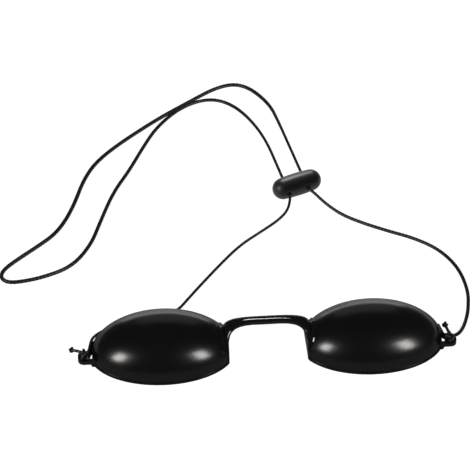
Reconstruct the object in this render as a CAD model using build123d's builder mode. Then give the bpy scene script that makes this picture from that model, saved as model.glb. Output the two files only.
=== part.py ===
from build123d import *
import os
from math import asin, cos, pi, radians, sin, sqrt, tan

os.makedirs("parts", exist_ok=True)

# Tanning goggles lying on their rims, domes up, with the head cord laid out behind them.
# Millimetres. +X runs along the goggles, +Y towards the forehead, +Z out of the face.
# The origin is on the rest plane, midway between the two cups.

# Eye cups: two opaque domes on oval rims, cut flat beside the nose and at the lug
cup_oval_length = 52.2  # of the oval before its ends are cut
cup_width = 34.1
cup_height = 14.65
cup_wall = 1.5
cup_spacing = 74.5  # between the ovals' middles
cup_nose_reach = 23.1  # from the oval's middle to its flat end beside the nose
cup_lug_reach = 25.2  # to its flat end at the lug
cup_setback = -0.23
cup_toe = 0.6  # degrees that each cup's outer end turns towards the forehead

# Rim of the frame under each cup
rim_height = 1.0
rim_step = 0.25  # how far the rim shows outside the dome
lip_height = 0.9
lip_wall = 0.9
seat_gap = 0.08
rim_edge_radius = 0.35

# Flange of the frame, lapping each dome's flat inner end
flange_wall = 0.5
flange_reach = 8.5  # radius of the ball that bounds its curved edge
flange_height = 2.0
flange_setback = 0.4
flange_inset = -0.95  # how far the ball's centre lies inside the cup's inner end

# Nose bridge
bridge_bar = 3.15
bridge_rise = 10.2
bridge_setback = 3.0
bridge_root_breadth = 8.8
bridge_root_inset = 0.85

# Cord lug at each outer end
lug_length = 5.0  # from the cup's outer end to the lug's end
lug_front = -6.05
lug_back = -0.4
lug_bar = 1.5
lug_under = 1.2
lug_thickness = 1.5
lug_corner_radius = 2.2
slot_corner_radius = 0.6
slot_mouth = 0.9  # setback of the slot's back corner beside the cup
slot_lean = 0.6  # how far the slot's back edge leans towards the cup
slot_back_length = 3.0
wing_setback = 4.6  # where the lug's back corner meets the cup
lug_root_wall = 1.15

# Elastic cord
cord_diameter = 1.05
cord_lift = 0.025  # keeps the laid cord just clear of the rest plane
arc_share = 0.45

# Knots on the lugs and on the tails
knot_length = 3.9
knot_breadth = 4.2
knot_height = 3.4
knot_setback = -4.0
knot_sink = 0.9  # how far a knot sinks below the lug's top
knot_inset = 2.4  # from the lug's end to the knot's centre
wrap_inset = 2.3
wrap_gap = 0.05
wrap_edge_radius = 0.35
tail_knot_diameter = 1.9

# Toggle: a two-hole bead that slides along both strands
toggle_length = 20.1
toggle_diameter = 8.8
toggle_end_diameter = 8.3  # where its round ends begin
toggle_at = (18.65, 85.55)
toggle_turn = 22.3  # degrees of its long axis from +X
strand_lean = 10.2  # degrees that the strands lean from +Y towards -X
strand_spacing = 7.9
strand_shift = -0.35  # of both strands along the toggle
bore_gap = 0.08
bore_edge_radius = 0.5
left_exit = 3.6  # from the toggle's middle to the end of the left free stretch
right_exit = 1.8
strand_lead = 1.8  # straight run of each free stretch beside its exit
left_straight = 31.2  # from the toggle's middle to the first bend of each strand behind it
right_straight = 39.0

# One overrun for every cut
overrun = 1.0

cord_radius = cord_diameter / 2
laid = cord_radius + cord_lift
strand_height = toggle_diameter / 2
cup_half_length = cup_oval_length / 2
cup_half_width = cup_width / 2
inner_end = cup_spacing / 2 - cup_nose_reach
outer_end = cup_spacing / 2 + cup_lug_reach
lug_end = outer_end + lug_length
lug_top = lug_under + lug_thickness
cup_plane = Plane(origin=(cup_spacing / 2, cup_setback, 0)).rotated((0, 0, cup_toe))
strand_way = Vector(-sin(radians(strand_lean)), cos(radians(strand_lean)), 0)
strand_side = Vector(cos(radians(strand_lean)), sin(radians(strand_lean)), 0)
toggle_middle = Vector(toggle_at[0], toggle_at[1], strand_height)


def strand_point(side, along):
    """A point on the left (-1) or right (1) strand, so far along it from the toggle's middle."""
    across = side * strand_spacing / 2 + strand_shift
    return toggle_middle + strand_side * across + strand_way * along


def corner_radii(name, route):
    """One radius for each corner of a cord's route, as large as its two runs allow."""
    radii = []
    for before, corner, after in zip(route, route[1:], route[2:]):
        arrive = Vector(*corner) - Vector(*before)
        leave = Vector(*after) - Vector(*corner)
        shorter = min(arrive.length, leave.length)
        radii.append(arc_share * shorter / tan(radians(arrive.get_angle(leave) / 2)))
    print(name, "corner radii", [round(r, 1) for r in radii])
    return radii


def ellipsoid(half_length, half_width, height):
    """A solid ellipsoid about the origin."""
    with BuildPart() as shape:
        Sphere(1)
        scale(by=(half_length, half_width, height))
    return shape.part


def dome(growth):
    """The domes' solid shape about the middle of a cup's rim, grown outwards by so much."""
    size = growth - rim_step
    with BuildPart() as shape:
        add(ellipsoid(cup_half_length + size, cup_half_width + size, cup_height + growth))
        split(bisect_by=Plane.YZ.offset(-cup_nose_reach - size), keep=Keep.TOP)
        split(bisect_by=Plane.YZ.offset(cup_lug_reach + size), keep=Keep.BOTTOM)
    return shape.part


def oval(growth):
    """The cups' outline on their rim, grown outwards by so much."""
    with BuildSketch() as outline:
        Ellipse(cup_half_length + growth, cup_half_width + growth)
        with Locations((-cup_nose_reach - growth, 0)):
            Rectangle(cup_oval_length, cup_oval_length, align=(Align.MAX, Align.CENTER), mode=Mode.SUBTRACT)
        with Locations((cup_lug_reach + growth, 0)):
            Rectangle(cup_oval_length, cup_oval_length, align=(Align.MIN, Align.CENTER), mode=Mode.SUBTRACT)
    return outline.sketch


# Eye cups: domes that stand on the rims
with BuildPart() as right_cup:
    with Locations(cup_plane.location):
        add(dome(0))
        add(dome(-cup_wall), mode=Mode.SUBTRACT)
    split(bisect_by=Plane.XY.offset(rim_height), keep=Keep.TOP)

with BuildPart() as left_cup:
    mirror(right_cup.part, about=Plane.YZ)

# Stations of the bridge's right half, from its middle to its root: shares of the root's place,
# the setback, the rise, the root's breadth over the bar's thickness, and the bar's thickness
bridge_root = inner_end + bridge_root_inset
bridge_shares = [
    (0.00, 1.00, 1.00, 0.00, 1.00),
    (0.245, 1.00, 1.00, 0.00, 1.00),
    (0.515, 0.97, 0.99, 0.04, 0.98),
    (0.735, 0.90, 0.935, 0.20, 1.00),
    (0.90, 0.76, 0.81, 0.50, 1.03),
    (0.985, 0.43, 0.62, 0.82, 1.02),
    (1.01, 0.07, 0.38, 0.96, 0.90),
    (1.06, -0.27, 0.12, 1.00, 0.83),
]
bridge_points = [
    Vector(across * bridge_root, back * bridge_setback, rise * bridge_rise)
    for across, back, rise, _, _ in bridge_shares
]


def bridge_heading(station):
    """The way the bridge runs at a station: along +X in the middle, down at its root."""
    if station == 0:
        return Vector(1, 0, 0)
    if station == len(bridge_points) - 1:
        return Vector(0, 0, -1)
    return bridge_points[station + 1] - bridge_points[station - 1]


# The loft starts two stations to the left, so that it is level in the middle, and is cut there
right_run = [(1, station) for station in range(len(bridge_shares))]
left_run = [(-1, station) for _, station in reversed(right_run[1:3])]
with BuildPart() as half_bridge:
    for side, station in left_run + right_run:
        shares = bridge_shares[station]
        point = bridge_points[station]
        heading = bridge_heading(station)
        flare = shares[3] * (bridge_root_breadth - bridge_bar)
        station_plane = Plane(
            origin=(side * point.X, point.Y, point.Z),
            x_dir=(0, 1, 0),
            z_dir=(heading.X, side * heading.Y, side * heading.Z),
        )
        with BuildSketch(station_plane):
            Ellipse((bridge_bar + flare) / 2, shares[4] * bridge_bar / 2)
    loft()
    split(bisect_by=Plane.YZ, keep=Keep.TOP)

# Flange that laps the dome's inner end
flange_centre = (inner_end + flange_inset, flange_setback, flange_height)
with BuildPart() as flange:
    with Locations(cup_plane.location):
        add(dome(flange_wall))
    with Locations(flange_centre):
        Sphere(flange_reach, mode=Mode.INTERSECT)
    split(bisect_by=Plane.XY, keep=Keep.TOP)

# Slotted lug at the outer end: a plate whose slot narrows away from the cup
lug_root = outer_end - lug_length
slot_front = lug_front + lug_bar
slot_back = lug_back - lug_bar
slot_end = lug_end - lug_bar
plate_points = [
    (lug_root, lug_front),
    (lug_end, lug_front),
    (lug_end, lug_back),
    (outer_end + lug_root_wall, lug_back),
    (outer_end, wing_setback),
    (lug_root, wing_setback),
]
slot_points = [
    (lug_root, slot_front),
    (slot_end, slot_front),
    (slot_end, slot_back),
    (slot_end - slot_back_length, slot_back),
    (slot_end - slot_back_length - slot_lean, slot_mouth),
    (lug_root, slot_mouth),
]
with BuildPart() as lug:
    with BuildSketch(Plane.XY.offset(lug_under)) as lug_plate:
        Polygon(*plate_points, align=None)
        fillet(lug_plate.vertices().group_by(Axis.X)[-1], lug_corner_radius)
    extrude(amount=lug_thickness)

with BuildPart() as slot:
    with BuildSketch() as slot_outline:
        Polygon(*slot_points, align=None)
        fillet(slot_outline.vertices().group_by(Axis.X)[-1], slot_corner_radius)
    extrude(amount=lug_top + overrun)

# Root that ties the lug down to the rim, flaring from the rim's edge to the lug's top
root_profile = [
    (lug_root, 0),
    (outer_end, 0),
    (outer_end + lug_root_wall, lug_top),
    (lug_root, lug_top),
]
with BuildPart() as lug_root_block:
    with BuildSketch(Plane.XZ):
        Polygon(*root_profile, align=None)
    extrude(amount=cup_half_width, both=True)
    with BuildSketch():
        Polygon(*plate_points, align=None)
    extrude(amount=lug_top, mode=Mode.INTERSECT)

# Rim ring with the lip that locates the dome
lip_top = rim_height + lip_height
lip_shrink = cup_half_length * (1 - sqrt(1 - (lip_top / (cup_height - cup_wall)) ** 2))
lip_inset = rim_step + cup_wall + seat_gap + lip_shrink
with BuildPart() as rim:
    with BuildSketch(cup_plane):
        add(oval(0))
    extrude(amount=rim_height)
    with BuildSketch(cup_plane.offset(rim_height)):
        add(oval(-lip_inset))
    extrude(amount=lip_height)
    with BuildSketch(cup_plane):
        add(oval(-lip_inset - lip_wall))
    extrude(amount=lip_top, mode=Mode.SUBTRACT)
    fillet(rim.edges().group_by(Axis.Z)[0], rim_edge_radius)

with BuildPart() as half_frame:
    add(half_bridge.part)
    add(flange.part)
    add(lug.part)
    add(lug_root_block.part)
    add(slot.part, mode=Mode.SUBTRACT)
    with Locations(cup_plane.location):
        add(dome(seat_gap), mode=Mode.SUBTRACT)
    add(rim.part)

with BuildPart() as frame:
    add(half_frame.part)
    mirror(half_frame.part, about=Plane.YZ)

# Toggle: a round bead whose crown runs tangent into two ball ends, with a bore for each strand
toggle_way = Vector(cos(radians(toggle_turn)), sin(radians(toggle_turn)), 0)
toggle_plane = Plane(origin=toggle_middle, x_dir=toggle_way, z_dir=toggle_way.cross(Vector(0, 0, 1)))
toggle_radius = toggle_diameter / 2
toggle_ball = toggle_end_diameter / 2
ball_centre = toggle_length / 2 - toggle_ball
crown_radius = (ball_centre**2 + toggle_radius**2 - toggle_ball**2) / (2 * (toggle_radius - toggle_ball))
crown_turn = asin(ball_centre / (crown_radius - toggle_ball))
ball_turn = (crown_turn + radians(90)) / 2


def ball_point(side, turn):
    """A point on a ball end's outline, so far round from its top."""
    return (side * (ball_centre + toggle_ball * sin(turn)), toggle_ball * cos(turn))


with BuildPart() as toggle:
    with BuildSketch(toggle_plane):
        with BuildLine():
            ThreePointArc(ball_point(-1, crown_turn), (0, toggle_radius), ball_point(1, crown_turn))
            for side in (-1, 1):
                ThreePointArc(
                    ball_point(side, crown_turn),
                    ball_point(side, ball_turn),
                    (side * toggle_length / 2, 0),
                )
            Line((-toggle_length / 2, 0), (toggle_length / 2, 0))
        make_face()
    revolve(axis=Axis(toggle_middle, toggle_way))
    for side in (-1, 1):
        with BuildSketch(Plane(origin=strand_point(side, 0), z_dir=strand_way)):
            Circle(cord_radius + bore_gap)
        extrude(amount=toggle_radius + overrun, both=True, mode=Mode.SUBTRACT)
        bore = toggle.faces(Select.LAST).filter_by(GeomType.CYLINDER)
        fillet(bore.edges().filter_by(GeomType.BSPLINE), bore_edge_radius)

# Lug knots: a lump bedded on the lug, with one turn of cord round its back bar
knot_middle = (
    lug_end - knot_inset,
    knot_setback,
    lug_top - knot_sink + knot_height / 2,
)
wrap_plane = Plane(
    origin=(lug_end - wrap_inset, lug_back - lug_bar / 2, lug_under + lug_thickness / 2),
    x_dir=(0, 1, 0),
    z_dir=(1, 0, 0),
)
knot_lump = ellipsoid(knot_length / 2, knot_breadth / 2, knot_height / 2)
with BuildPart() as wrap:
    with BuildSketch(wrap_plane):
        RectangleRounded(
            lug_bar + 2 * (wrap_gap + cord_diameter),
            lug_thickness + 2 * (wrap_gap + cord_diameter),
            cord_diameter,
        )
    extrude(amount=cord_radius, both=True)
    fillet(wrap.edges().filter_by(GeomType.LINE, reverse=True), wrap_edge_radius)
    with BuildSketch(wrap_plane):
        Rectangle(lug_bar + 2 * wrap_gap, lug_thickness + 2 * wrap_gap)
    extrude(amount=cord_diameter, both=True, mode=Mode.SUBTRACT)

with BuildPart() as right_knot:
    with Locations(knot_middle):
        add(knot_lump)
    add(wrap.part)
    add(half_frame.part, mode=Mode.SUBTRACT)

with BuildPart() as left_knot:
    mirror(right_knot.part, about=Plane.YZ)

# Tails of the two knots, each ending in a small stopper knot
right_tail_route = [(65.0, -2.9, 4.4), (64.4, -0.9, 5.0), (64.0, 1.7, 4.9)]
left_tail_route = [(-65.4, -2.9, 4.2), (-67.5, -1.9, 4.4), (-69.6, -0.8, 3.9)]

# Cord routes, from each lug knot to the toggle, on the rest plane except near both ends
left_route = [
    (-64.3, -3.2, 4.0),
    (-63.4, -1.6, 3.95),
    (-63.05, 0.8, 3.75),
    (-62.65, 3.3, 3.5),
    (-61.9, 6.0, 3.0),
    (-60.0, 10.0, 1.2),
    (-57.3, 12.5, laid),
    (-53.5, 15.5, laid),
    (-46.5, 17.4, laid),
    (-38.0, 18.6, laid),
    (-31.2, 19.9, laid),
    (-25.3, 28.8, laid),
    (-14.0, 44.8, laid),
    (-5.6, 55.5, laid),
    (2.8, 62.7, laid),
    (9.4, 68.4, laid),
    (13.9, 73.1, 1.4),
    (15.4, 77.6, 3.1),
    strand_point(-1, -left_exit - strand_lead),
    strand_point(-1, -left_exit),
]
right_route = [
    (66.3, -3.4, 3.8),
    (68.2, -1.7, 3.0),
    (69.7, 0.7, 2.1),
    (71.4, 4.3, 1.1),
    (73.1, 8.9, laid),
    (74.6, 14.0, laid),
    (76.1, 24.0, laid),
    (74.4, 37.0, laid),
    (68.8, 47.7, laid),
    (60.3, 54.9, laid),
    (50.5, 60.0, laid),
    (40.9, 65.8, laid),
    (34.1, 71.1, laid),
    (28.7, 76.3, 2.0),
    (24.6, 80.9, 4.0),
    strand_point(1, -right_exit - strand_lead),
    strand_point(1, -right_exit),
]
loop_route = [
    strand_point(-1, -left_exit),
    strand_point(-1, left_straight),
    (2.8, 133.8, 2.3),
    (-4.3, 145.2, 0.7),
    (-12.8, 147.6, laid),
    (-23.3, 141.4, laid),
    (-33.3, 130.3, laid),
    (-39.9, 117.6, laid),
    (-46.3, 104.3, laid),
    (-52.0, 89.8, laid),
    (-57.3, 72.0, laid),
    (-61.5, 60.0, laid),
    (-68.7, 48.0, laid),
    (-78.9, 42.6, laid),
    (-88.3, 40.2, laid),
    (-93.1, 40.4, laid),
    (-95.7, 43.8, laid),
    (-94.7, 48.2, laid),
    (-89.6, 53.3, laid),
    (-82.0, 60.2, laid),
    (-74.2, 68.0, laid),
    (-68.3, 80.9, laid),
    (-62.6, 102.2, laid),
    (-54.3, 114.9, laid),
    (-34.8, 133.8, laid),
    (-21.5, 145.0, laid),
    (-6.2, 156.8, laid),
    (4.0, 156.4, 0.7),
    (12.7, 140.8, 2.3),
    strand_point(1, right_straight),
    strand_point(1, -right_exit),
]


def cord_tube(name, route):
    """One stretch of the cord: straight runs joined by tangent arcs."""
    with BuildPart() as tube:
        with BuildLine() as path:
            FilletPolyline(*route, radius=corner_radii(name, route))
        with BuildSketch(Plane(origin=path.line @ 0, z_dir=path.line % 0)):
            Circle(cord_radius)
        sweep()
    path_length = path.wire().length
    section = pi * cord_radius**2
    print(
        f"{name} length {path_length:.1f}, volume {tube.part.volume:.2f},",
        f"section times length {section * path_length:.2f}",
    )
    return tube


cord_left = cord_tube("cord_left", left_route)
cord_head_loop = cord_tube("cord_head_loop", loop_route)
cord_right = cord_tube("cord_right", right_route)
left_tail = cord_tube("left_tail", left_tail_route)
right_tail = cord_tube("right_tail", right_tail_route)

with BuildPart() as left_tail_knot:
    with Locations(left_tail_route[-1]):
        Sphere(tail_knot_diameter / 2)

with BuildPart() as right_tail_knot:
    with Locations(right_tail_route[-1]):
        Sphere(tail_knot_diameter / 2)

pieces = {
    "frame": frame,
    "left_cup": left_cup,
    "right_cup": right_cup,
    "toggle": toggle,
    "cord_left": cord_left,
    "cord_head_loop": cord_head_loop,
    "cord_right": cord_right,
    "left_knot": left_knot,
    "right_knot": right_knot,
    "left_tail": left_tail,
    "right_tail": right_tail,
    "left_tail_knot": left_tail_knot,
    "right_tail_knot": right_tail_knot,
}
for name, piece in pieces.items():
    piece.part.label = name
    export_step(piece.part, f"parts/{name}.step")
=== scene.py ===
import math
import bmesh
import bpy
from mathutils import Matrix, Quaternion, Vector


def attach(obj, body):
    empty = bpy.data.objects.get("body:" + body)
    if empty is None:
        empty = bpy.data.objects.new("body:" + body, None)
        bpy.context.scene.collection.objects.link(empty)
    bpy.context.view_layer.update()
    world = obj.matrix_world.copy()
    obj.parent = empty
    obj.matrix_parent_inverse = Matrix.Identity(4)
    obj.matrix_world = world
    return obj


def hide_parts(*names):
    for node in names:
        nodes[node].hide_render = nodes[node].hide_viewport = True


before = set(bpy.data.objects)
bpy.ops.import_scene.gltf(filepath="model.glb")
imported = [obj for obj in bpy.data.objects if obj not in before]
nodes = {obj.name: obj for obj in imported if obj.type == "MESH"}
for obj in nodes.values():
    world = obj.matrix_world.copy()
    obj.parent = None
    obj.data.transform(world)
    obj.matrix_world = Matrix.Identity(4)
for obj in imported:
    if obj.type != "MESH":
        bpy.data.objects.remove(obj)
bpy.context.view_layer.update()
print("frame loaded,", len(nodes), "nodes")


# Camera, at the photograph's angle

camera = {
    "azimuth": -4.2,  # degrees, 0 looks along +Y
    "elevation": 40.3,
    "distance": 0.8,
    "aim": (-0.00954, 0.02655, 0.03040),
    "lens": 171.6,
    "clip": (0.01, 20.0),
}


def fromAngles(azimuth, elevation, distance):
    turn, lift = math.radians(azimuth), math.radians(elevation)
    flat = math.cos(lift) * distance
    return Vector((math.sin(turn) * flat, -math.cos(turn) * flat, math.sin(lift) * distance))


def addCamera():
    data = bpy.data.cameras.new("photoCamera")
    data.lens = camera["lens"]
    data.clip_start, data.clip_end = camera["clip"]
    eye = bpy.data.objects.new("photoCamera", data)
    back = fromAngles(camera["azimuth"], camera["elevation"], camera["distance"])
    eye.location = Vector(camera["aim"]) + back
    eye.rotation_mode = "QUATERNION"
    eye.rotation_quaternion = (-back).to_track_quat("-Z", "Y")
    bpy.context.scene.collection.objects.link(eye)
    bpy.context.scene.camera = eye


addCamera()
print("camera set")


# Node materials: sums are written on wires, every other node comes from Finish.add

class Wire:
    def __init__(self, tree, socket):
        self.tree = tree
        self.socket = socket

    def combine(self, operation, first, second):
        made = self.tree.nodes.new("ShaderNodeMath")
        made.operation = operation
        for place, value in zip(made.inputs, (first, second)):
            if isinstance(value, Wire):
                self.tree.links.new(value.socket, place)
            else:
                place.default_value = value
        return Wire(self.tree, made.outputs[0])

    def __add__(self, other):
        return self.combine("ADD", self, other)

    __radd__ = __add__

    def __mul__(self, other):
        return self.combine("MULTIPLY", self, other)

    __rmul__ = __mul__

    def __sub__(self, other):
        return self.combine("SUBTRACT", self, other)

    def __rsub__(self, other):
        return self.combine("SUBTRACT", other, self)

    def __pow__(self, other):
        return self.combine("POWER", self, other)

    def fraction(self):
        return self.combine("FRACT", self, 0.0)

    def size(self):
        return self.combine("ABSOLUTE", self, 0.0)

    def atMost(self, other):
        return self.combine("MINIMUM", self, other)

    def atLeast(self, other):
        return self.combine("MAXIMUM", self, other)


class Finish:
    def __init__(self, name, holder=None):
        self.data = holder or bpy.data.materials.new(name)
        self.data.use_nodes = True
        self.tree = self.data.node_tree
        self.tree.nodes.clear()

    def add(self, kind, settings, inputs, output=0):
        made = self.tree.nodes.new("ShaderNode" + kind)
        for name, value in settings.items():
            if name == "stops":
                for stop, (place, colour) in zip(made.color_ramp.elements, value):
                    stop.position = place
                    stop.color = colour
            else:
                setattr(made, name, value)
        for name, value in inputs.items():
            if isinstance(value, Wire):
                self.tree.links.new(value.socket, made.inputs[name])
            else:
                made.inputs[name].default_value = value
        return Wire(self.tree, made.outputs[output]) if made.outputs else None

    def noise(self, place, scale, detail, roughness=0.55):
        return self.add("TexNoise", {}, {
            "Vector": place, "Scale": scale, "Detail": detail, "Roughness": roughness,
        })

    def blend(self, factor, first, second):
        return self.add("Mix", {"data_type": "RGBA"}, {0: factor, 6: first, 7: second}, 2)

    def close(self, shader):
        self.add("OutputMaterial", {}, {"Surface": shader})
        return self.data


mould = {
    "flowDetail": 4.0,
    "grainDetail": 2.0,
    "dustDetail": 6.0,
    "dustBreakup": 0.7,
}


def moulded(name, look):
    # plastic or rubber straight from a mould: faint flow in the colour, fine grain in the gloss
    finish = Finish(name)
    place = finish.add("TexCoord", {}, {}, "Object")
    flow = finish.noise(place, look["flowScale"], mould["flowDetail"])
    grain = finish.noise(place, look["grainScale"], mould["grainDetail"])
    dust = finish.noise(place, look["dustScale"], mould["dustDetail"], mould["dustBreakup"])
    colour = finish.blend(flow, look["dark"], look["light"])
    rough = look["roughness"] + (flow - 0.5) * look["flowRoughness"]
    specks = (dust - look["dustAbove"]).atLeast(0.0) * look["dustRoughness"]
    height = grain * look["grainHeight"] + flow * look["flowHeight"]
    normal = finish.add("Bump", {}, {"Height": height, "Strength": 1.0, "Distance": 1.0})
    return finish.close(finish.add("BsdfPrincipled", {}, {
        "Base Color": colour,
        "Roughness": rough + specks,
        "IOR": look["ior"],
        "Normal": normal,
    }))


cupLook = {
    "dark": (0.0022, 0.0024, 0.0028, 1), "light": (0.0042, 0.0046, 0.0052, 1),
    "roughness": 0.235, "flowRoughness": 0.05, "dustAbove": 0.62, "dustRoughness": 0.5,
    "flowScale": 60.0, "grainScale": 1500.0, "dustScale": 420.0,
    "grainHeight": 0.0000020, "flowHeight": 0.00004, "ior": 1.5,
}
frameLook = {
    "dark": (0.0030, 0.0030, 0.0033, 1), "light": (0.0055, 0.0055, 0.0060, 1),
    "roughness": 0.075, "flowRoughness": 0.03, "dustAbove": 0.66, "dustRoughness": 0.4,
    "flowScale": 90.0, "grainScale": 1800.0, "dustScale": 500.0,
    "grainHeight": 0.0000008, "flowHeight": 0.00005, "ior": 1.5,
}
toggleLook = {
    "dark": (0.010, 0.010, 0.0115, 1), "light": (0.024, 0.024, 0.027, 1),
    "roughness": 0.43, "flowRoughness": 0.12, "dustAbove": 0.58, "dustRoughness": 0.7,
    "flowScale": 140.0, "grainScale": 2200.0, "dustScale": 900.0,
    "grainHeight": 0.0000050, "flowHeight": 0.00006, "ior": 1.5,
}


def finishNodes(material, *names):
    for name in names:
        slots = nodes[name].data.materials
        slots.clear()
        slots.append(material)


finishNodes(moulded("satinCup", cupLook), "left_cup", "right_cup")
finishNodes(moulded("glossFrame", frameLook), "frame")
finishNodes(moulded("toggleRubber", toggleLook), "toggle")
print("moulded finishes done")


# Head cord: strands laid round a rubber core, from the left lug through the toggle and back

cord = {
    "diameter": 0.00105,
    "length": 0.6924,  # both stretches to the lugs and the loop
    "strands": 4,
    "sidesPerStrand": 4,
    "lay": 0.0056,  # one full turn of a strand
    "relief": 0.12,  # depth of the grooves, as a share of the radius
    "grooveShape": 1.6,  # over 1 the grooves are narrower than the strands' backs
    "ringStep": 0.00035,
    "weld": 0.002,  # points nearer than this share of the radius are joined
    "laid": 0.00055,  # height of the cord's middle where it lies
    "loopLaid": 0.0008,  # the same in the loop, where the cord is thicker
    "swell": 1.07,  # strands' backs beside the plain tube
    "slack": [  # shares of the length, and how thick the less stretched cord is there
        (0.0, 0.97), (0.175, 0.97), (0.19, 1.04), (0.23, 1.05), (0.27, 1.28), (0.48, 1.36),
        (0.52, 1.42), (0.74, 1.42), (0.785, 1.05), (0.835, 1.04), (0.87, 1.22), (1.0, 1.22),
    ],
}
toggle = {
    "middle": (0.01865, 0.08555, 0.0044),
    "lean": 10.2,  # degrees that the strands lean from +Y towards -X
    "spacing": 0.0079,
    "shift": -0.00035,  # of both strands along the bead
    "leftExit": 0.0036,  # from the bead's middle to where each strand comes out below
    "rightExit": 0.0018,
    "lead": 0.0018,  # straight length beyond that
    "leftStraight": 0.0312,  # how far each strand runs straight above
    "rightStraight": 0.039,
    "leftHold": 0.0099,  # where each strand's line is held above the bead
    "rightHold": 0.0227,
}


def strandPoint(side, along):
    lean = math.radians(toggle["lean"])
    way = Vector((-math.sin(lean), math.cos(lean), 0))
    across = Vector((math.cos(lean), math.sin(lean), 0))
    reach = side * toggle["spacing"] / 2 + toggle["shift"]
    return Vector(toggle["middle"]) + across * reach + way * along


def onTable(x, y):
    return (x, y, cord["laid"])


def looseOnTable(x, y):
    return (x, y, cord["loopLaid"])


leftRoute = [
    (-0.0643, -0.0032, 0.0040),
    (-0.0634, -0.0016, 0.00395),
    (-0.06305, 0.0008, 0.00375),
    (-0.06265, 0.0033, 0.0035),
    (-0.0619, 0.0060, 0.0030),
    (-0.0600, 0.0100, 0.0012),
    onTable(-0.0573, 0.0125),
    onTable(-0.0535, 0.0155),
    onTable(-0.0465, 0.0174),
    onTable(-0.0380, 0.0186),
    onTable(-0.0313, 0.0200),
    onTable(-0.0254, 0.0289),
    onTable(-0.0140, 0.0448),
    onTable(-0.0056, 0.0555),
    onTable(0.0028, 0.0627),
    onTable(0.0094, 0.0684),
    (0.0139, 0.0731, 0.0014),
    (0.0154, 0.0776, 0.0031),
    strandPoint(-1, -toggle["leftExit"] - toggle["lead"]),
    strandPoint(-1, -toggle["leftExit"]),
]
loopRoute = [
    strandPoint(-1, toggle["leftHold"]),
    strandPoint(-1, toggle["leftStraight"]),
    (0.0028, 0.1338, 0.0023),
    (-0.0043, 0.1452, 0.0007),
    looseOnTable(-0.0128, 0.1476),
    looseOnTable(-0.0235, 0.1422),
    looseOnTable(-0.0333, 0.1303),
    looseOnTable(-0.0395, 0.1172),
    looseOnTable(-0.0453, 0.1033),
    looseOnTable(-0.0521, 0.0899),
    looseOnTable(-0.0576, 0.0724),
    looseOnTable(-0.0613, 0.0598),
    looseOnTable(-0.0685, 0.0479),
    looseOnTable(-0.0789, 0.0426),
    looseOnTable(-0.0883, 0.0404),
    looseOnTable(-0.0929, 0.0407),
    looseOnTable(-0.0951, 0.0436),
    looseOnTable(-0.0941, 0.0476),
    looseOnTable(-0.0894, 0.0527),
    looseOnTable(-0.0818, 0.0597),
    looseOnTable(-0.0740, 0.0675),
    looseOnTable(-0.0680, 0.0808),
    looseOnTable(-0.0624, 0.1019),
    looseOnTable(-0.0543, 0.1149),
    looseOnTable(-0.0348, 0.1338),
    looseOnTable(-0.0214, 0.1445),
    looseOnTable(-0.0061, 0.1563),
    (0.0040, 0.1564, 0.0007),
    (0.0127, 0.1408, 0.0023),
    strandPoint(1, toggle["rightStraight"]),
    strandPoint(1, toggle["rightHold"]),
]
rightRoute = [
    (0.0663, -0.0034, 0.0038),
    (0.0682, -0.0017, 0.0030),
    (0.0697, 0.0007, 0.0021),
    (0.0714, 0.0043, 0.0011),
    onTable(0.0731, 0.0089),
    onTable(0.0746, 0.0140),
    onTable(0.0761, 0.0240),
    onTable(0.0744, 0.0370),
    onTable(0.0688, 0.0477),
    onTable(0.0603, 0.0549),
    onTable(0.0505, 0.0600),
    onTable(0.0409, 0.0658),
    onTable(0.0341, 0.0711),
    (0.0287, 0.0763, 0.0020),
    (0.0246, 0.0809, 0.0040),
    strandPoint(1, -toggle["rightExit"] - toggle["lead"]),
    strandPoint(1, -toggle["rightExit"]),
]
cordRoute = leftRoute + loopRoute + rightRoute[::-1]


def smoothLine(points, cyclic=False, resolution=40):
    # the points of a smooth NURBS line that the given points control
    data = bpy.data.curves.new("line", "CURVE")
    data.dimensions = "3D"
    data.resolution_u = resolution
    spline = data.splines.new("NURBS")
    spline.points.add(len(points) - 1)
    for knob, point in zip(spline.points, points):
        knob.co = (*point, 1)
    spline.order_u = 3
    if cyclic:
        spline.use_cyclic_u = True
    else:
        spline.use_endpoint_u = True
    holder = bpy.data.objects.new("line", data)
    mesh = bpy.data.meshes.new_from_object(holder)
    line = [vertex.co.copy() for vertex in mesh.vertices]
    bpy.data.meshes.remove(mesh)
    bpy.data.objects.remove(holder)
    bpy.data.curves.remove(data)
    return line


def spacedAlong(line, step):
    # the same line with its points about a step apart
    reach = [0.0]
    for before, after in zip(line, line[1:]):
        reach.append(reach[-1] + (after - before).length)
    count = max(2, round(reach[-1] / step))
    spaced, run = [], 0
    for index in range(count + 1):
        at = reach[-1] * index / count
        while run < len(line) - 2 and reach[run + 1] < at:
            run += 1
        share = (at - reach[run]) / max(reach[run + 1] - reach[run], 1e-12)
        spaced.append(line[run].lerp(line[run + 1], min(share, 1.0)))
    return spaced, reach[-1]


def carriedFrames(line, closed):
    # at each point, a frame carried along the line without twisting
    count = len(line)
    frames = []
    side = None
    for index, point in enumerate(line):
        ahead = line[(index + 1) % count] if closed or index < count - 1 else point
        behind = line[index - 1] if closed or index else point
        way = (ahead - behind).normalized()
        if side is None:
            side = way.orthogonal().normalized()
        else:
            side = (side - way * side.dot(way)).normalized()
        frames.append((point, way, side))
    return frames


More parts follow.
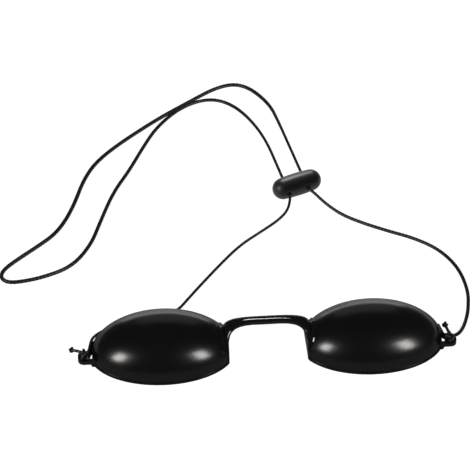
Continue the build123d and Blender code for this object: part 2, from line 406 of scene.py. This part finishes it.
def layRope(mesh, line, radius, closed=False, taper=None):
    # a flat sheet, one row for each ring, rolled round the line with its strands twisting
    spaced, length = spacedAlong(line, cord["ringStep"])
    if closed:
        spaced = spaced[:-1]
    frames = carriedFrames(spaced, closed)
    sides = cord["strands"] * cord["sidesPerStrand"]
    rings = len(frames)
    rows = rings + 1 if closed else rings
    turns = length / cord["lay"]
    if closed:
        # the last ring has to meet the first, strand on strand
        _, way, side = frames[0]
        last = frames[-1][2]
        last = (last - way * last.dot(way)).normalized()
        drift = math.atan2(last.cross(side).dot(way), last.dot(side))
        strand = math.tau / cord["strands"]
        whole = round((turns * math.tau - drift) / strand) * strand + drift
        turns = whole / math.tau
    sheet = bmesh.new()
    bmesh.ops.create_grid(sheet, x_segments=sides, y_segments=rows - 1, size=0.5)
    layer = sheet.loops.layers.uv.new("alongCord")
    for face in sheet.faces:
        for loop in face.loops:
            u, v = loop.vert.co.x + 0.5, loop.vert.co.y + 0.5
            loop[layer].uv = (u * cord["strands"], v * length / cord["lay"])
            face.smooth = True
    for vert in sheet.verts:
        u, v = vert.co.x + 0.5, vert.co.y + 0.5
        row = round(v * (rows - 1))
        point, way, side = frames[row % rings]
        spin = math.tau * (u + turns * row / (rows - 1))
        groove = 1 - abs(math.cos(math.pi * u * cord["strands"]))
        thick = radius * (1 - cord["relief"] * groove ** cord["grooveShape"])
        if taper:
            thick *= taper(row / (rows - 1))
        vert.co = point + (Quaternion(way, spin) @ side) * thick
    bmesh.ops.remove_doubles(sheet, verts=sheet.verts, dist=radius * cord["weld"])
    if not closed:
        bmesh.ops.holes_fill(sheet, edges=[edge for edge in sheet.edges if edge.is_boundary])
    bmesh.ops.recalc_face_normals(sheet, faces=sheet.faces)
    kept = bpy.data.meshes.new("rope")
    sheet.to_mesh(kept)
    sheet.free()
    mesh.from_mesh(kept)
    bpy.data.meshes.remove(kept)
    return spaced


def finished(name, sheet, material, body):
    data = bpy.data.meshes.new(name)
    sheet.to_mesh(data)
    sheet.free()
    data.materials.append(material)
    piece = bpy.data.objects.new(name, data)
    bpy.context.scene.collection.objects.link(piece)
    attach(piece, body)
    return piece


braidLook = {
    # painted shade: the grooves between the strands are coloured darker than the strands' backs
    "groove": (0.0022, 0.0022, 0.0024, 1),
    "fibre": (0.011, 0.011, 0.012, 1),
    # painted highlight: the colour of the glints laid on the strands' backs
    "paintedGlint": (0.060, 0.060, 0.062, 1),
    "fibresAcross": 9.0,  # fibres seen across one strand
    "fibresAlong": 2.2,
    "fibreScale": 1.6,
    "fibreDetail": 3.0,
    "fibreBreakup": 0.6,
    "fibreShare": 1.6,  # how soon the fibres' colour takes over from the groove's
    "backShape": 0.7,  # under 1 the strands' backs look broader
    "shineScale": 0.7,
    "shineDetail": 2.0,
    "glintAbove": 0.60,
    "glintGain": 6.0,
    "roughness": 0.42,
    "fibreRoughness": 0.3,
    "fibreHeight": 0.000022,
}


def braidMaterial():
    # fibres run along each strand, on the cord's own flat sheet; the grooves are painted darker as
    # shade and the strands' backs carry painted glints
    look = braidLook
    finish = Finish("cordBraid")
    sheet = finish.add("UVMap", {"uv_map": "alongCord"}, {})
    fibrePlace = finish.add("Mapping", {}, {
        "Vector": sheet, "Scale": (look["fibresAcross"], look["fibresAlong"], 1.0),
    })
    parts = finish.add("SeparateXYZ", {}, {"Vector": sheet})
    back = (parts.fraction() - 0.5).size() * 2.0  # 1 on a strand's back, 0 in a groove
    fibre = finish.noise(fibrePlace, look["fibreScale"], look["fibreDetail"], look["fibreBreakup"])
    shine = finish.noise(fibrePlace, look["shineScale"], look["shineDetail"])
    # the strands' backs take the fibres' colour, with random fibre tone, and the grooves keep the
    # darker groove colour: painted shade in the grooves
    share = back ** look["backShape"] * fibre * look["fibreShare"]
    body = finish.blend(share, look["groove"], look["fibre"])
    # painted glints: a lighter colour on the strands' backs where the shine noise is high
    paintedGlintShare = ((shine - look["glintAbove"]).atLeast(0.0) * look["glintGain"]).atMost(1.0) * back
    colour = finish.blend(paintedGlintShare, body, look["paintedGlint"])
    normal = finish.add("Bump", {}, {
        "Height": fibre * look["fibreHeight"], "Strength": 1.0, "Distance": 1.0,
    })
    return finish.close(finish.add("BsdfPrincipled", {}, {
        "Base Color": colour,
        "Roughness": look["roughness"] + (fibre - 0.5) * look["fibreRoughness"],
        "Normal": normal,
    }))


def slackAt(share):
    # how much thicker the cord is at a share of its length
    for (before, thin), (after, thick) in zip(cord["slack"], cord["slack"][1:]):
        if share <= after:
            return thin + (thick - thin) * (share - before) / (after - before)
    return cord["slack"][-1][1]


braid = braidMaterial()
rope = bmesh.new()
ropeRadius = cord["diameter"] / 2 * cord["swell"]
cordLine = layRope(rope, smoothLine(cordRoute), ropeRadius, taper=slackAt)
headCord = finished("headCord", rope, braid, "goggles")
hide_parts("cord_left", "cord_head_loop", "cord_right")
print("head cord laid,", len(headCord.data.polygons), "faces")


# Knots: a tight overhand knot on each lug, with one turn round the lug's back bar

lugKnot = {
    "middle": (0.06505, -0.0040, 0.0035),  # on the right, mirrored for the left
    "size": 0.00055,
    "rise": 0.00090,
    "cordRadius": 0.00054,
    "tilt": (-34.0, 16.0, 20.0),  # degrees about X, Y and Z
    "turnMiddle": (0.06515, -0.00115, 0.00195),
    "turnReach": 0.00127,
    "turnSlant": 0.0002,
    "turnCorners": [  # shares of the reach, along Y and up
        (1, 0.2), (0.9, 0.9), (0, 1.06), (-0.9, 0.9), (-1, 0), (-0.9, -0.9), (0, -1), (0.9, -0.9),
    ],
    "turnSteps": 12,  # between two corners
}
knotSteps = 120  # points of a knot's line
stopper = {
    "size": 0.00028,
    "rise": 0.00036,
    "cordRadius": 0.00043,
}
rightTailRoute = [(0.0650, -0.0029, 0.0044), (0.0644, -0.0009, 0.0050), (0.0640, 0.0017, 0.0049)]
leftTailRoute = [(-0.0654, -0.0029, 0.0042), (-0.0675, -0.0019, 0.0044), (-0.0696, -0.0008, 0.0039)]


def overhandLine(middle, size, rise, tilt):
    # the closed line of a tight overhand knot about its middle
    aboutX, aboutY, aboutZ = [
        Matrix.Rotation(math.radians(angle), 3, axis) for angle, axis in zip(tilt, "XYZ")
    ]
    turn = aboutZ @ (aboutY @ aboutX)
    line = []
    for step in range(knotSteps + 1):
        angle = math.tau * step / knotSteps
        line.append(Vector(middle) + turn @ Vector((
            (math.sin(angle) + 2 * math.sin(2 * angle)) * size,
            (math.cos(angle) - 2 * math.cos(2 * angle)) * size,
            -math.sin(3 * angle) * rise,
        )))
    return line


def barTurnLine(side):
    # one turn of cord round the lug's back bar
    x, y, z = lugKnot["turnMiddle"]
    reach = lugKnot["turnReach"]
    points = [
        (side * (x + lugKnot["turnSlant"] * up), y + along * reach, z + up * reach)
        for along, up in lugKnot["turnCorners"]
    ]
    line = smoothLine(points, True, lugKnot["turnSteps"])
    return line + line[:1]


def cordPiece(name, mesh, node):
    piece = finished(name, mesh, braid, "goggles")
    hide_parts(node)
    return piece


def makeKnot(side, name, node):
    x, y, z = lugKnot["middle"]
    aboutX, aboutY, aboutZ = lugKnot["tilt"]
    middle = (side * x, y, z)
    tilt = (aboutX, side * aboutY, side * aboutZ)
    knot = bmesh.new()
    tied = overhandLine(middle, lugKnot["size"], lugKnot["rise"], tilt)
    layRope(knot, tied, lugKnot["cordRadius"], True)
    layRope(knot, barTurnLine(side), lugKnot["cordRadius"], True)
    return cordPiece(name, knot, node)


def makeTail(route, name, node):
    tail = bmesh.new()
    layRope(tail, smoothLine(route), ropeRadius)
    return cordPiece(name, tail, node)


def makeStopper(route, name, node):
    way = (Vector(route[-1]) - Vector(route[-2])).normalized()
    lean = Vector((0, 0, 1)).rotation_difference(way).to_euler()
    tilt = [math.degrees(angle) for angle in lean]
    knot = bmesh.new()
    line = overhandLine(route[-1], stopper["size"], stopper["rise"], tilt)
    layRope(knot, line, stopper["cordRadius"], True)
    return cordPiece(name, knot, node)


knotPieces = [
    makeKnot(-1, "leftLugKnot", "left_knot"),
    makeKnot(1, "rightLugKnot", "right_knot"),
    makeTail(leftTailRoute, "leftTailCord", "left_tail"),
    makeTail(rightTailRoute, "rightTailCord", "right_tail"),
    makeStopper(leftTailRoute, "leftTailStopper", "left_tail_knot"),
    makeStopper(rightTailRoute, "rightTailStopper", "right_tail_knot"),
]
print("knots tied")


# Room: a pale floor, a soft light on each side, small ones for the bridge and the bead, and
# two wide ones behind that the tops of the domes mirror

room = {
    "floorSize": 8.0,
    "floorColour": (0.35, 0.35, 0.35, 1),
    "floorGlow": 0.95,  # what the camera sees of the floor beside its lit colour
    "behindGlow": 0.55,  # what the gloss mirrors of the floor behind the goggles
    "behindFrom": 0.03,  # where that begins and is full, along Y
    "behindTo": 0.08,
    "skyColour": (0.045, 0.046, 0.05, 1),
}
lamps = {  # angles in degrees, sizes and distances in metres, power in watts
    "leftSoft": {
        "azimuth": -62.7, "elevation": 28.7, "distance": 1.2, "size": (0.31, 0.39), "power": 7.2,
    },
    "rightSoft": {
        "azimuth": 50.8, "elevation": 33.0, "distance": 1.2, "size": (0.31, 0.42), "power": 7.2,
        "without": ("toggle",),
    },
    "bridgeTop": {
        "azimuth": 20.0, "elevation": 84.0, "distance": 0.55, "size": (0.045, 0.26), "power": 0.9,
        "only": ("frame",),
    },
    "beadBack": {
        "azimuth": 174.0, "elevation": 39.0, "distance": 0.5, "size": (0.12, 0.06), "power": 1.2,
        "only": ("toggle",),
    },
    "beadFront": {
        "azimuth": -20.0, "elevation": 42.0, "distance": 0.5, "size": (0.05, 0.05), "power": 0.06,
        "only": ("toggle",),
    },
    "backGlow": {
        "azimuth": 178.0, "elevation": 6.0, "distance": 0.9, "size": (0.7, 0.15), "power": 0.55,
    },
    "backHigh": {
        "azimuth": 176.0, "elevation": 32.0, "distance": 0.9, "size": (0.6, 0.36), "power": 0.17,
    },
}
lampColour = (1.0, 0.965, 0.94)


def makeRoom():
    sheet = bmesh.new()
    bmesh.ops.create_grid(sheet, x_segments=1, y_segments=1, size=room["floorSize"] / 2)
    data = bpy.data.meshes.new("floor")
    sheet.to_mesh(data)
    sheet.free()
    finish = Finish("paleFloor")
    seen = finish.add("LightPath", {}, {}, "Is Camera Ray")
    lit = finish.add("BsdfDiffuse", {}, {"Color": room["floorColour"]})
    mirrored = finish.add("LightPath", {}, {}, "Is Glossy Ray")
    place = finish.add("TexCoord", {}, {}, "Object")
    away = finish.add("SeparateXYZ", {}, {"Vector": place}, 1)
    share = (away - room["behindFrom"]) * (1 / (room["behindTo"] - room["behindFrom"]))
    behind = share.atLeast(0.0).atMost(1.0) * mirrored
    glow = finish.add("Emission", {}, {
        "Color": (1, 1, 1, 1),
        "Strength": seen * room["floorGlow"] + behind * room["behindGlow"],
    })
    data.materials.append(finish.close(finish.add("AddShader", {}, {0: lit, 1: glow})))
    floor = bpy.data.objects.new("floor", data)
    bpy.context.scene.collection.objects.link(floor)
    world = bpy.data.worlds.new("studio")
    bpy.context.scene.world = world
    sky = Finish("studio", world)
    seen = sky.add("LightPath", {}, {}, "Is Camera Ray")
    colour = sky.blend(seen, room["skyColour"], (1, 1, 1, 1))
    sky.add("OutputWorld", {}, {"Surface": sky.add("Background", {}, {"Color": colour})})


def chooseLit(lamp, names, state):
    # INCLUDE lights only the named nodes, EXCLUDE all but them
    chosen = bpy.data.collections.new(lamp.name)
    for name in names:
        chosen.objects.link(nodes[name])
    for member in chosen.collection_objects:
        member.light_linking.link_state = state
    lamp.light_linking.receiver_collection = chosen


def addLamp(name, place):
    data = bpy.data.lights.new(name, "AREA")
    data.shape = "RECTANGLE"
    data.size, data.size_y = place["size"]
    data.energy = place["power"]
    data.color = lampColour
    lamp = bpy.data.objects.new(name, data)
    back = fromAngles(place["azimuth"], place["elevation"], place["distance"])
    lamp.location = back
    lamp.rotation_mode = "QUATERNION"
    lamp.rotation_quaternion = (-back).to_track_quat("-Z", "Y")
    lamp.visible_camera = False
    if "only" in place:
        chooseLit(lamp, place["only"], "INCLUDE")
    if "without" in place:
        chooseLit(lamp, place["without"], "EXCLUDE")
    bpy.context.scene.collection.objects.link(lamp)


makeRoom()
for lampName, lampPlace in lamps.items():
    addLamp(lampName, lampPlace)
bpy.context.scene.view_settings.view_transform = "Standard"
print("room lit")
